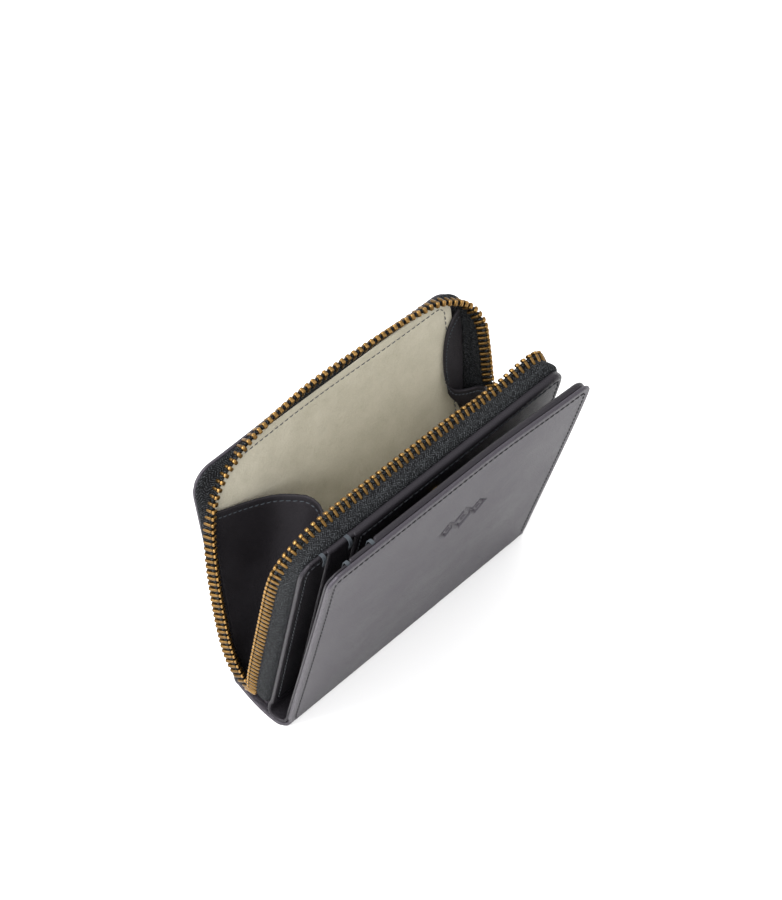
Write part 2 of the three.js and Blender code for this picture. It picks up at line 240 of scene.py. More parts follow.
def plain(name, colour, rough, metal=0.0):
    """One colour with a finely uneven surface, for thread and foil."""
    n = Nodes(name)
    return n.finish(Base_Color=colour, Roughness=rough, Metallic=metal,
                    Normal=n.bump(n.noise(3000, 2.0), 0.00006, 0.6))


HIDE = leather("cover_leather", (0.012, 0.0105, 0.0135), (0.018, 0.016, 0.020), 0.46, 0.46, 1.5)
# Card layers, card bases and gutter: the hide's leather made about three times darker, as painted shade for
# the shaded inside of the wallet
SHADED_CARD = leather("card_leather_painted_shade", (0.004, 0.0036, 0.0045), (0.0075, 0.0068, 0.0082), 0.48, 0.26)
# Gussets: the hide's leather made darker, as painted shade for the gussets in the shaded inside of the
# wallet
SHADED_GUSSET = leather("gusset_leather_painted_shade", (0.007, 0.0062, 0.0073), (0.0125, 0.0115, 0.0132), 0.58, 0.2)
SUEDE = suede()
TAPE = woven_tape()
BRASS = antique_brass()
BLACK_THREAD = plain("black_thread", (0.002, 0.002, 0.003), 0.8)
GREY_THREAD = plain("grey_thread", (0.028, 0.035, 0.043), 0.75)
PANEL_THREAD = plain("panel_thread", (0.017, 0.02, 0.024), 0.75)
LINING_THREAD = plain("lining_thread", (0.07, 0.075, 0.085), 0.7)
GOLD = plain("gold_foil", (0.72, 0.5, 0.2), 0.3, metal=1.0)


# ---- mesh building ----
class Shell:
    """Collects points, faces, edge wear (0 to 1) and UVs (in millimetres) for one mesh."""

    def __init__(self):
        self.points, self.faces, self.edge, self.uvs = [], [], [], []

    def add(self, point, edge=0.0, uv=(0.0, 0.0)):
        self.points.append(tuple(point))
        self.edge.append(edge)
        self.uvs.append(uv)
        return len(self.points) - 1

    def bridge(self, a, b):
        """Faces between two closed rings."""
        count = len(a)
        for i in range(count):
            j = (i + 1) % count
            self.faces.append((a[i], a[j], b[j], b[i]))

    def loft(self, rings):
        """A closed body: each ring joined to the next, and both ends capped."""
        for a, b in zip(rings, rings[1:]):
            self.bridge(a, b)
        self.faces.append(tuple(reversed(rings[0])))
        self.faces.append(tuple(rings[-1]))

    def tube(self, path, radius, sides, edge=0.0):
        """A round thread along points in metres, drawn in at its ends. radius is in millimetres."""
        rings = []
        side = None
        for i, point in enumerate(path):
            ahead = (path[min(i + 1, len(path) - 1)] - path[max(i - 1, 0)]).normalized()
            side = side or ahead.orthogonal()
            side = (side - ahead * ahead.dot(side)).normalized()
            other = ahead.cross(side)
            r = radius * MM * (0.55 if i in (0, len(path) - 1) else 1.0)
            rings.append([self.add(point + (side * math.cos(a) + other * math.sin(a)) * r, edge)
                          for a in (2 * math.pi * k / sides for k in range(sides))])
        self.loft(rings)

    def make(self, name, material, body=None, replaces=(), slot=None):
        mesh = bpy.data.meshes.new(name)
        mesh.from_pydata(self.points, [], self.faces)
        attribute = mesh.attributes.new("edge", "FLOAT", "POINT")
        attribute.data.foreach_set("value", self.edge)
        layer = mesh.uv_layers.new(name="UVMap")
        pairs = []
        for loop in mesh.loops:
            pairs += self.uvs[loop.vertex_index]
        layer.data.foreach_set("uv", pairs)
        mesh.materials.append(material)
        mesh.polygons.foreach_set("use_smooth", [True] * len(mesh.polygons))
        mesh.update()
        obj = bpy.data.objects.new(name, mesh)
        bpy.context.scene.collection.objects.link(obj)
        if body:
            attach(obj, body)
        if replaces:
            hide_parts(*replaces)
        return obj


def smooth(t):
    """Ease from 0 to 1."""
    t = min(1.0, max(0.0, t))
    return t * t * (3 - 2 * t)


def flat(x, h):
    """No bend and no dent."""
    return 0.0


TURN = [math.pi / 2 * k / 12 for k in range(13)]


class Panel:
    """A rectangle with rounded corners in (x, h). radii: top right, top left, bottom left, bottom right."""

    def __init__(self, x0, x1, h0, h1, radii):
        self.x0, self.x1, self.h0, self.h1, self.radii = x0, x1, h0, h1, radii
        self.corners = [(x1, h1, 1, 1, radii[0]), (x0, h1, -1, 1, radii[1]),
                        (x0, h0, -1, -1, radii[2]), (x1, h0, 1, -1, radii[3])]

    def depth(self, x, h):
        """Distance from the outline, inwards."""
        best = min(x - self.x0, self.x1 - x, h - self.h0, self.h1 - h)
        for cx, ch, sx, sh, r in self.corners:
            ax, ah = sx * (x - cx) + r, sh * (h - ch) + r
            if ax > 0 and ah > 0:
                best = min(best, r - math.hypot(ax, ah))
        return max(best, 0.0)

    def span(self, h):
        """The outline's left and right x at height h."""
        ends = [self.x0, self.x1]
        for cx, ch, sx, sh, r in self.corners:
            ah = sh * (h - ch) + r
            if ah > 0:
                ends[sx > 0] = cx - sx * (r - math.sqrt(max(r * r - ah * ah, 0.0)))
        return ends

    def rim(self, inset):
        """Points along the outline moved in by inset: up the left side, over the top, down the right."""
        x0, x1, h1 = self.x0 + inset, self.x1 - inset, self.h1 - inset
        left, right = max(self.radii[1] - inset, 0.1), max(self.radii[0] - inset, 0.1)
        points = [(x0, self.h0 + inset), (x0, h1 - left)]
        points += [(x0 + left - left * math.cos(a), h1 - left + left * math.sin(a)) for a in TURN]
        points += [(x1 - right + right * math.sin(a), h1 - right + right * math.cos(a)) for a in TURN]
        points.append((x1, self.h0 + inset))
        return points


NEAR_EDGE = [0.0, 0.034, 0.134, 0.29, 0.5, 0.74, 1.0]  # shares of the rounding at a rim
STITCH_BAND = [-0.9, -0.5, -0.25, 0.0, 0.25, 0.5, 0.9]  # across a sunk stitch line
GRID_STEP = 2.5
CLOSEST = 0.012
GROOVE_DEPTH, GROOVE_HALF = 0.16, 0.3


def stations(low, high, round_in, groove, extra):
    """Grid positions from low to high, close together at the edges and stitch line, with the extra ones."""
    half = (high - low) / 2
    near = [round_in * d for d in NEAR_EDGE] + [round_in + 0.5]
    if groove:
        near += [groove + d for d in STITCH_BAND]
    near = [d for d in near if d < half]
    places = [low + d for d in near] + [high - d for d in near] + list(extra)
    start, end = low + max(near), high - max(near)
    count = max(1, int((end - start) / GRID_STEP))
    places += [start + (end - start) * k / count for k in range(1, count)]
    kept = []
    for p in sorted(places):
        if not kept or p - kept[-1] > CLOSEST:
            kept.append(p)
    return kept


def sheet(name, where, panel, mid, half, material, body=None, groove=None, shape=flat, press=flat,
          fine_x=(), fine_h=(), wear=1.0, **more):
    """A sheet of leather or suede with a rounded rim: the panel outline, laid in space by where(x, v, h).

    It is half thick on each side of v = mid. groove is how far in its stitch line sinks, shape bends the
    whole sheet, and press dents the face on the low-v side only."""
    shell = Shell()
    heights = stations(panel.h0, panel.h1, half, groove, fine_h)
    widths = stations(panel.x0, panel.x1, half, groove, fine_x)
    fronts, backs = [], []
    for h in heights:
        left, right = panel.span(h)
        front, back = [], []
        for w in widths:
            x = left + (w - panel.x0) * (right - left) / (panel.x1 - panel.x0)
            d = panel.depth(x, h)
            on_rim = h in (heights[0], heights[-1]) or w in (widths[0], widths[-1])
            d = 0.0 if on_rim else d
            thick = math.sqrt(max(half * half - max(half - d, 0.0) ** 2, 0.0))
            if groove:
                thick -= GROOVE_DEPTH * math.exp(-((d - groove) / GROOVE_HALF) ** 2)
            edge = max(0.0, 1 - d / (half * 1.5)) ** 1.3 * wear
            v = mid + shape(x, h)
            if on_rim:
                index = shell.add(where(x, v, h), edge, (x, h))
                front.append(index)
                back.append(index)
            else:
                front.append(shell.add(where(x, v - thick + press(x, h), h), edge, (x, h)))
                back.append(shell.add(where(x, v + thick, h), edge, (x, h)))
        fronts.append(front)
        backs.append(back)
    for grid, turned in ((fronts, False), (backs, True)):
        for low, high in zip(grid, grid[1:]):
            for i in range(len(low) - 1):
                face = (low[i], low[i + 1], high[i + 1], high[i])
                shell.faces.append(tuple(reversed(face)) if turned else face)
    return shell.make(name, material, body, **more)


STITCH_PITCH = 2.1
SPLINE_STEPS = 16


def walk(path, spacing):
    """Places every spacing along a path of (x, h) points: (x, h, unit dx, unit dh)."""
    lengths = [0.0]
    for a, b in zip(path, path[1:]):
        lengths.append(lengths[-1] + math.dist(a, b))
    places = []
    k = 0
    for i in range(int(lengths[-1] / spacing)):
        s = (i + 0.5) * spacing
        while lengths[k + 1] < s:
            k += 1
        f = (s - lengths[k]) / (lengths[k + 1] - lengths[k])
        (ax, ah), (bx, bh) = path[k], path[k + 1]
        size = math.dist((ax, ah), (bx, bh))
        places.append((ax + (bx - ax) * f, ah + (bh - ah) * f, (bx - ax) / size, (bh - ah) / size))
    return places


def stitches(name, where, path, v, out, material, length=1.5, thick=0.42, tilt=0.16, shape=flat, **more):
    """A row of thread stitches along path, on the face at v; out is the side (+1 or -1) they stand on."""
    shell = Shell()
    for x, h, ux, uh in walk(path, STITCH_PITCH):
        ux, uh = ux - tilt * uh, uh + tilt * ux
        points = []
        for j in range(7):
            f = j / 6 - 0.5
            lift = out * (0.16 * math.cos(math.pi * f) - 0.12)
            px, ph = x + ux * length * f, h + uh * length * f
            points.append(where(px, v + shape(px, ph) + lift, ph))
        shell.tube(points, thick / 2, 7)
    return shell.make(name, material, **more)


def spline(controls, steps=SPLINE_STEPS):
    """A smooth curve through rows of numbers (Catmull-Rom)."""
    curve = []
    last = len(controls) - 1
    for i in range(last):
        rows = [controls[max(i - 1, 0)], controls[i], controls[i + 1], controls[min(i + 2, last)]]
        for k in range(steps):
            t = k / steps
            curve.append([0.5 * (2 * b + (c - a) * t + (2 * a - 5 * b + 4 * c - d) * t * t
                                 + (3 * b - a - 3 * c + d) * t ** 3) for a, b, c, d in zip(*rows)])
    curve.append(list(controls[last]))
    return curve


def table(rows, f):
    """Linear look-up between rows (key, values...)."""
    for a, b in zip(rows, rows[1:]):
        if f <= b[0] or b is rows[-1]:
            t = min(max((f - a[0]) / (b[0] - a[0]), 0.0), 1.0)
            return [p + (q - p) * t for p, q in zip(a[1:], b[1:])]


def on(place):
    """A panel's own placing function, for sheet and stitches."""
    return lambda x, v, h: at(place, x, v, h)


def local(place, point):
    """x and h of a point, seen square on to a panel's face."""
    y0, z0, lean = PLACES[place]
    c, s = math.cos(math.radians(lean)), math.sin(math.radians(lean))
    y, z = point.y / MM - y0 - Y_SHIFT, point.z / MM - z0
    return point.x / MM - X_SHIFT, y * s + z * c


# ---- the hide: the cover with the spine is one mesh, and the back panel with its fold the other ----
FOLD_MID = 1.0  # radius of the hide's middle at a fold
SPINE_DROP = 0.1  # the hide lies this much lower along the spine
HIDE_EDGE = spline([  # height on the hide, half width
    (HIDE_TAIL, 54.0), (-16, 54.9), (-10, 55.4), (-5, 55.4), (-3, 55.1), (-1.9, 54.7), (-1.0, 54.1),
    (-0.2, 53.4), (0.8, 53.0), (2.0, 53.1), (3.6, 53.4), (6, COVER_WIDTH / 2), (120, COVER_WIDTH / 2)], 6)
COVER_TURN = math.radians(90 + COVER_LEAN)
BACK_TURN = math.radians(90 - BACK_LEAN)


def foot_width(x, h):
    """The hide is cut narrower at the front fold and swells over the spine."""
    return x * table(HIDE_EDGE, h)[0] / COVER_WIDTH * 2


def cover_wrap(x, v, h):
    """Cover leather: up the cover for h over 0, round the fold and back along the spine for h under 0."""
    x = foot_width(x, h)
    if h >= 0:
        return at("cover", x, v, h)
    arc = FOLD_MID * COVER_TURN
    turn = math.radians(-COVER_LEAN) + min(-h / arc, 1.0) * COVER_TURN
    run = max(-h - arc, 0.0)
    y = COVER_Y + v * math.cos(turn) + run
    z = FOLD_Z + v * math.sin(turn) - SPINE_DROP * min(run, 1.0)
    return Vector((x + X_SHIFT, y + Y_SHIFT, z)) * MM


def back_wrap(x, v, h):
    """Back leather: up the back panel for h over 0, round its fold and a little forward for h under 0."""
    if h >= 0:
        return at("back", x, v, h)
    arc = FOLD_MID * BACK_TURN
    turn = math.radians(BACK_LEAN) + min(-h / arc, 1.0) * BACK_TURN
    run = max(-h - arc, 0.0)
    y = BACK_Y + v * math.cos(turn) - run
    z = FOLD_Z - v * math.sin(turn) - SPINE_DROP * min(run, 1.0)
    return Vector((x + X_SHIFT, y + Y_SHIFT, z)) * MM


def cover_bow(x, h):
    """The cover's slight waves, and the forward curl of its top right corner."""
    if h < 0:
        return 0.0
    up = math.sin(math.pi * min(h / COVER_HEIGHT, 1.0))
    curl = 1.6 * smooth((x - 8) / 50) * smooth(h / COVER_HEIGHT)
    return -0.45 * up * math.cos(math.pi * x / 140) + 0.12 * math.sin(x / 13 + 1) * up - curl


ORNAMENT_X, ORNAMENT_H = 7.0, 65.0
LOZENGES = [(-6.4, 0.72), (0.0, 1.0), (6.4, 0.72)]  # place along the row, size


def ornament(x, h):
    """Three lozenges pressed 1 mm deep, the middle one largest: each is an outline with a dot in it."""
    deep = 0.0
    for along, size in LOZENGES:
        d = abs(x - ORNAMENT_X - along) / (4.1 * size) + abs(h - ORNAMENT_H) / (4.8 * size)
        deep = max(deep, math.exp(-((d - 1.0) / 0.24) ** 2), math.exp(-(d / 0.36) ** 2))
    return deep if deep > 0.02 else 0.0


def rim_above_fold(panel, inset):
    """The rim path of a sheet that goes round a fold, cut off just above it."""
    path = panel.rim(inset)
    path[0], path[-1] = (path[0][0], 1.0), (path[-1][0], 1.0)
    return path


def make_cover():
    half, out = COVER_WIDTH / 2, -FOLD_R
    low = out + LEATHER
    hide = Panel(-half, half, HIDE_TAIL, COVER_HEIGHT, (5, 5, 0.5, 0.5))
    obj = sheet("front_hide", cover_wrap, hide, (out + low) / 2, LEATHER / 2, HIDE, groove=STITCH_IN,
                shape=cover_bow, press=ornament, fine_x=[ORNAMENT_X - 11.5 + 0.25 * k for k in range(93)],
                fine_h=[ORNAMENT_H - 6 + 0.3 * k for k in range(41)] + [-4 + 0.2 * k for k in range(26)],
                replaces=["cover_leather", "spine_leather"], slot="leather")
    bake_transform(obj)
    stitches("cover_stitching", cover_wrap, rim_above_fold(hide, STITCH_IN), out, -1, BLACK_THREAD,
             shape=cover_bow, body="front_cover")
    base_face = low + CARD_BASE
    layers = [  # name, left end, face, node replaced, slot, stitch line, how far past the layer below
        ("cover_inner", -half + 0.5, base_face, "cover_card_base", "leather", STITCH_IN, 0.0),
        ("cover_slot_second", -half + SLOT_2, base_face + LAYER, "cover_card_second", "card", None, 0.04),
        ("cover_slot_front", -half + SLOT_1, base_face + 2 * LAYER, "cover_card_front", "card",
         CARD_STITCH_IN, 0.08),
    ]
    for k, (name, left, face, node, slot, groove, grow) in enumerate(layers):
        back = low + 0.03 * (k + 1)
        corner = 4.6 if k == 0 else 0.6
        top = COVER_HEIGHT - COVER_LAYER_DROP + grow
        panel = Panel(left, half - 0.5 + grow, LAYER_FOOT, top, (4.6, corner, 0.6, 0.6))
        sheet(name, on("cover"), panel, (back + face) / 2, (face - back) / 2, SHADED_CARD, "front_cover",
              groove=groove, shape=cover_bow, replaces=[node], slot=slot)
        if groove:
            stitches(name + "_stitching", on("cover"), panel.rim(groove), face, 1, BLACK_THREAD,
                     shape=cover_bow, body="front_cover")


def make_middle():
    half, top = WIDTH / 2, PANEL_HEIGHT
    back = 2 * LAYER + CARD_BASE
    layers = [  # name, left end, face, node replaced, slot, stitch line, how far past the layer below
        ("panel_base", -half, 2 * LAYER, "panel_card_base", "leather", CARD_STITCH_IN, 0.0),
        ("panel_slot_second", -half + SLOT_2, LAYER, "panel_card_second", "card", None, 0.04),
        ("panel_slot_front", -half + SLOT_1, 0.0, "panel_card_front", "card", CARD_STITCH_IN, 0.08),
    ]
    for k, (name, left, face, node, slot, groove, grow) in enumerate(layers):
        low_back = back + 0.5 - 0.03 * k
        foot = LAYER_FOOT if k == 0 else 0.3
        corner = 5 if k == 0 else 0.6
        panel = Panel(left, half + grow, foot, top + grow - 0.1, (5, corner, 0.6, 0.6))
        sheet(name, on("panel"), panel, (face + low_back) / 2, (low_back - face) / 2, SHADED_CARD, "wallet",
              groove=groove, replaces=[node], slot=slot)
        if groove:
            stitches(name + "_stitching", on("panel"), panel.rim(groove), face, -1, PANEL_THREAD,
                     body="wallet")
    lining = Panel(-half + 2.4, half - 2.4, 0.6, top - 2.2, (4, 4, 0.6, 0.6))
    sheet("panel_suede", on("panel"), lining, back + 0.95, 0.42, SUEDE, "wallet", replaces=["panel_lining"],
          slot="lining", wear=0.0)


def back_bow(x, h):
    """The free top edge of the back bows rearward between the corners."""
    return 1.1 * smooth((h - 30) / 60) * math.exp(-((x + 6) / 26) ** 2) if h > 0 else 0.0


def make_back():
    half, out = WIDTH / 2, FOLD_R
    low = out - LEATHER
    top = BACK_HEIGHT - BACK_DROP
    hide = Panel(-half, half, -3.0, top, (8, 8, 0.5, 0.5))
    obj = sheet("back_hide", back_wrap, hide, (out + low) / 2 - 0.02, LEATHER / 2 - 0.04, HIDE,
                groove=STITCH_IN, shape=back_bow, fine_h=[-3 + 0.2 * k for k in range(22)],
                replaces=["back_leather"], slot="leather")
    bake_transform(obj)
    stitches("back_stitching", back_wrap, rim_above_fold(hide, STITCH_IN), out - 0.06, 1, BLACK_THREAD,
             shape=back_bow, body="back_panel")
    lining = Panel(-half + 2.0, half - 2.0, 2.2, top - 1.4, (6.5, 6.5, 0.6, 0.6))
    face = low - LINING
    sheet("back_suede", on("back"), lining, (face + low) / 2, LINING / 2, SUEDE, "back_panel",
          groove=LINING_STITCH_IN, shape=back_bow, replaces=["back_lining"], slot="lining", wear=0.0)
    stitches("back_suede_stitching", on("back"), lining.rim(LINING_STITCH_IN), face, -1, LINING_THREAD,
             length=1.4, thick=0.3, tilt=0.05, shape=back_bow, body="back_panel")


# ---- the zip ----
class Row:
    """Centre line of a tooth row, through control rows (place, x, v, h, tilt).

    tilt turns the teeth from square across the gap (0) to outward from the panel (90 degrees). toward is
    +1 if they point to high v, else -1."""

    def __init__(self, place, toward, controls):
        self.place, self.toward = place, toward
        rows = [(*at(p, x, v, h), tilt) for p, x, v, h, tilt in controls]
        self.samples = spline(rows)
        self.length = [0.0]
        for a, b in zip(self.samples, self.samples[1:]):
            self.length.append(self.length[-1] + math.dist(a[:3], b[:3]) / MM)
        self.total = self.length[-1]

    def spot(self, s):
        """Centre and tilt at arc length s."""
        s = min(max(s, 0.0), self.total - 1e-6)
        lo, hi = 0, len(self.length) - 2
        while lo < hi:
            k = (lo + hi) // 2
            if self.length[k + 1] < s:
                lo = k + 1
            else:
                hi = k
        f = (s - self.length[lo]) / max(self.length[lo + 1] - self.length[lo], 1e-9)
        row = [p + (q - p) * f for p, q in zip(self.samples[lo], self.samples[lo + 1])]
        return Vector(row[:3]), row[3]

    def frame(self, s):
        """At arc length s: centre, direction along the row, the way the tooth points, third direction."""
        centre, tilt = self.spot(s)
        along = (self.spot(s + 0.5)[0] - self.spot(s - 0.5)[0]).normalized()
        deep = (at(self.place, 0, self.toward, 0) - at(self.place, 0, 0, 0)).normalized()
        deep = (deep - along * along.dot(deep)).normalized()
        out = along.cross(deep) * self.toward
        turn = math.radians(tilt)
        axis = (deep * math.cos(turn) + out * math.sin(turn)).normalized()
        return centre, along, axis, along.cross(axis).normalized()


FRONT_ROW = [
    ("panel", -54.8, 9.4, 5.0, 12), ("panel", -55.6, 9.6, 16, 18), ("panel", -55.7, 9.6, 40, 19),
    ("panel", -55.6, 9.6, 60, 20), ("panel", -55.5, 9.6, 70.5, 22), ("panel", -54.6, 9.6, 78, 24),
    ("panel", -52.3, 9.6, 82.6, 26), ("panel", -48.6, 9.6, 86.4, 28), ("panel", -43.4, 9.6, 89.6, 30),
    ("panel", -36, 9.6, 91.2, 31), ("panel", -16, 9.6, 91.0, 31), ("panel", 14, 9.6, 90.6, 31),
    ("panel", 26, 9.6, 89.2, 31), ("panel", 36, 9.6, 89.2, 31), ("panel", 46, 9.6, 91.0, 30),
    ("panel", 51.8, 9.4, 89.6, 25), ("panel", 54.5, 8.8, 84, 18), ("panel", 54.6, 8.2, 74, 8),
    ("panel", 54.4, 7.7, 58, 0), ("panel", 54.2, 7.5, 40, 0), ("panel", 54.2, 7.3, 22, 0),
    ("panel", 54.2, 7.0, 5, 0),
]
BACK_ROW = [
    ("back", -54.0, -6.6, 3.2, -10), ("back", -55.4, -4.2, 9.0, -22), ("back", -56.3, -3.1, 18, -30),
    ("back", -56.6, -2.9, 30, -32), ("back", -56.2, -2.9, 45, -32), ("back", -55.1, -2.9, 60, -28),
    ("back", -53.0, -2.7, 73, -16), ("back", -50.0, -2.4, 81, -4), ("back", -45.4, -2.1, 86.3, 6),
    ("back", -39.5, -1.8, 89.6, 14), ("back", -31.5, -1.3, 92.1, 32), ("back", -17, -0.5, 93.2, 56),
    ("back", -4, -0.1, 93.5, 64), ("back", 15, -0.6, 93.2, 60), ("back", 33, -1.2, 92.6, 40),
    ("back", 44.0, -2.4, 92.1, 14), ("back", 51.2, -3.7, 88.6, 8),
    ("back", 54.8, -4.3, 85.1, 20), ("back", 56.6, -5.9, 81.4, 34), ("back", 57.5, -7.3, 77.0, 42),
    ("back", 58.0, -7.2, 71.5, 48), ("back", 58.4, -7.0, 62, 50), ("back", 58.6, -6.8, 54, 48),
    ("back", 58.0, -8.6, 48.5, 40), ("panel", 56.3, 16.0, 43.5, 25), ("panel", 54.6, 11.6, 39.5, 5),
    ("panel", 54.2, 10.4, 33, 0), ("panel", 54.2, 10.2, 22, 0), ("panel", 54.2, 9.9, 5, 0),
]
SWING_FROM = 15  # the rear row's control row where its swinging part starts
FIRST_TOOTH = 1  # arc length of the first tooth
TOOTH_SIDES = 12
# rings of one tooth: place along it, half length along the row, half width across, wear
TOOTH = [
    (-1.9, 0.36, 0.70, 0.3), (-1.7, 0.48, 1.00, 0.6), (-1.1, 0.53, 1.12, 0.5), (0.2, 0.55, 1.12, 0.55),
    (0.80, 0.54, 1.08, 0.5), (0.98, 0.50, 1.00, 0.2), (1.12, 0.54, 1.00, 0.4), (1.26, 0.64, 1.04, 0.7),
    (1.55, 0.68, 1.04, 0.9), (1.86, 0.60, 0.86, 1.0), (2.02, 0.34, 0.46, 0.9),
]


def row_teeth(name, row, low, high, **more):
    """Brass teeth, one every pitch, for the part of the row between arc lengths low and high."""
    shell = Shell()
    for i in range(math.ceil((low - FIRST_TOOTH) / PITCH), math.ceil((high - FIRST_TOOTH) / PITCH)):
        centre, along, axis, third = row.frame(FIRST_TOOTH + i * PITCH)
        rings = []
        for t, length, width, wear in TOOTH:
            ring = []
            for k in range(TOOTH_SIDES):
                a = 2 * math.pi * (k + 0.5) / TOOTH_SIDES
                c, d = math.cos(a), math.sin(a)
                px = math.copysign(abs(c) ** 0.5, c) * length
                pw = math.copysign(abs(d) ** 0.5, d) * width
                point = centre + (along * px + third * pw + axis * t) * MM
                ring.append(shell.add(point, wear * (0.35 + 0.65 * abs(d))))
            rings.append(ring)
        shell.loft(rings)
    return shell.make(name, BRASS, slot="brass", **more)


TAPE_COLUMNS, TAPE_HALF = 13, 0.28  # points across the tape, half its thickness
CORD_SIDES, CORD_R = 8, 0.72  # the cord along its free edge


def tape_feet(row, base):
    """About every millimetre along the row, the nearest point of the base path, never going back."""
    feet = []
    steps = int(row.total)
    for i in range(steps + 1):
        spot = local(row.place, row.spot(row.total * i / steps)[0])
        ahead = range(feet[-1] if feet else 0, len(base))
        feet.append(min(ahead, key=lambda k: math.dist(base[k], spot)))
    return feet


def row_tape(name, row, base, v_base, low, high, **more):
    """Woven strip from a panel's edge out to the row, with a cord along its free edge between the teeth."""
    shell = Shell()
    feet = tape_feet(row, base)
    steps = len(feet) - 1
    deep = (at(row.place, 0, row.toward, 0) - at(row.place, 0, 0, 0)).normalized()
    rings = []
    count = int(high - low)
    for i in range(count + 1):
        s = low + (high - low) * i / count
        centre, along, axis, third = row.frame(s)
        near = [min(max(round(s / row.total * steps) + k, 0), steps) for k in range(-3, 4)]
        foot = base[round(sum(feet[k] for k in near) / len(near))]
        root = at(row.place, foot[0], v_base, foot[1])
        tip = centre + axis * 0.35 * MM
        reach = (tip - root).length
        outward = along.cross(deep).normalized() * row.toward
        belly = min(reach * 0.75, 3.4 * MM)
        lift = root + outward * belly + deep * belly * 0.35
        handle = tip - axis * reach * 0.45
        mid = []
        for j in range(TAPE_COLUMNS):
            f = j / (TAPE_COLUMNS - 1)
            g = 1 - f
            mid.append(root * g ** 3 + lift * 3 * f * g ** 2 + handle * 3 * f * f * g + tip * f ** 3)
        upper, lower = [], []
        for j in range(TAPE_COLUMNS):
            ahead = mid[min(j + 1, TAPE_COLUMNS - 1)] - mid[max(j - 1, 0)]
            normal = along.cross(ahead).normalized() * TAPE_HALF * MM
            uv = (s, reach / MM * j / (TAPE_COLUMNS - 1))
            upper.append(shell.add(mid[j] + normal, uv=uv))
            lower.append(shell.add(mid[j] - normal, uv=uv))
        cord = []
        for k in range(CORD_SIDES):
            a = math.pi * (0.75 - 1.5 * k / (CORD_SIDES - 1))
            bead = tip + (third * math.sin(a) + axis * math.cos(a)) * CORD_R * MM
            cord.append(shell.add(bead, uv=(s, reach / MM + 0.25 * k)))
        rings.append(upper + cord + lower[::-1])
    shell.loft(rings)
    return shell.make(name, TAPE, slot="tape", **more)


def dense(path):
    """The same path with a point every quarter of a millimetre."""
    return [(x, h) for x, h, ux, uh in walk(path, 0.25)]


def make_stop(name, row, body, node):
    """The round brass stop at the row's free end."""
    centre, along, axis, third = row.frame(0.0)
    shell = Shell()
    rings = []
    for t, size in ((-1.7, 0.8), (-1.4, 1.1), (0.9, 1.15), (1.3, 0.8)):
        ring = []
        for k in range(16):
            a = 2 * math.pi * (k + 0.5) / 16
            px, pw = math.cos(a) * 1.1 * size, math.sin(a) * 1.25 * size
            ring.append(shell.add(centre + (along * (px - 0.5) + third * pw + axis * t) * MM, 0.7))
        rings.append(ring)
    shell.loft(rings)
    shell.make(name, BRASS, body, replaces=[node], slot="brass")


def make_zip():
    half = WIDTH / 2
    front, back = Row("panel", 1, FRONT_ROW), Row("back", -1, BACK_ROW)
    front_base = dense(Panel(-half, half, 1.5, PANEL_HEIGHT, (5, 5, 1, 1)).rim(0.9))
    back_base = dense(Panel(-half, half, 1.5, BACK_HEIGHT - BACK_DROP, (8, 8, 1, 1)).rim(0.7))
    row_tape("panel_zip_tape", front, front_base, 2.7, 0.4, front.total - 0.4, body="wallet",
             replaces=["panel_tape"])
    row_teeth("panel_zip_teeth", front, 1.0, front.total - 1.0, body="wallet", replaces=["panel_teeth"])
    split = back.length[SPLINE_STEPS * SWING_FROM]
    row_tape("back_zip_tape", back, back_base, 0.1, 0.4, split, body="back_panel", replaces=["back_tape"])
    row_teeth("back_zip_teeth", back, 1.0, split, body="back_panel", replaces=["back_teeth"])
    swing = [row_tape("back_zip_tape_swing", back, back_base, 0.1, split, back.total - 0.4),
             row_teeth("back_zip_teeth_swing", back, split, back.total - 1.0)]
    for obj in swing:
        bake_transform(obj)
    make_stop("panel_stop", front, "wallet", "panel_top_stop")
    make_stop("back_stop", back, "back_panel", "back_top_stop")


# ---- gussets, gutter and floor ----
def with_arc(curve):
    """Rows (share of the length, values...) from a list of rows of values."""
    lengths = [0.0]
    for a, b in zip(curve, curve[1:]):
        lengths.append(lengths[-1] + math.dist(a, b))
    return [(s / lengths[-1], *row) for s, row in zip(lengths, curve)]


# x, how far from the front lining to the rear one in thirtieths of the gap, height of the hem
LEFT_SECTION = with_arc(spline([
    (-53.4, 29.8, 76.3), (-47, 29.7, 73.6), (-38, 29.0, 70.8), (-30, 26.6, 69.6), (-25.4, 22.8, 69.8),
    (-23.3, 19.2, 70.6), (-24.2, 14.5, 71.3), (-28.6, 10.8, 71.5), (-38, 5.0, 71.5), (-52.5, 0.0, 71.5)], 8))
# x, v from the back panel, height of the hem
RIGHT_HEM = with_arc(spline([
    (54.6, -1.2, 82.5), (52.0, -1.1, 80.6), (48.6, -1.2, 76.6), (46.4, -1.4, 70.5), (45.5, -1.7, 64),
    (45.5, -2.1, 58.5), (46.6, -3.2, 54.6), (49.4, -5.2, 53.6), (52.6, -8.5, 54.8), (55.0, -12, 56.6)], 8))
GUSSET_FOOT, GUSSET_TOP = 2.6, 71.5
GUSSET_WIDTH = 78.0  # where a gusset's own x ends; about the left one's unfolded width
HEM_IN = 2.2  # its stitch line below the hem


def left_gusset(x, v, h):
    """x from 0 at the rear seam to GUSSET_WIDTH at the front one."""
    def surface(a, b):
        gx, share, hem = table(LEFT_SECTION, a / GUSSET_WIDTH)
        up = min(max((b - GUSSET_FOOT) / (GUSSET_TOP - GUSSET_FOOT), 0.0), 1.1)
        gx = -53.4 + (gx + 53.4) * (0.22 + 0.78 * min(up, 1.0) ** 0.8)
        height = GUSSET_FOOT + (hem - GUSSET_FOOT) * up
        rear, front = at("back", gx, -0.95, height), at("panel", gx, 3.75, height)
        return front + (rear - front) * (share / 30)
    return off_surface(surface, x, v, h)


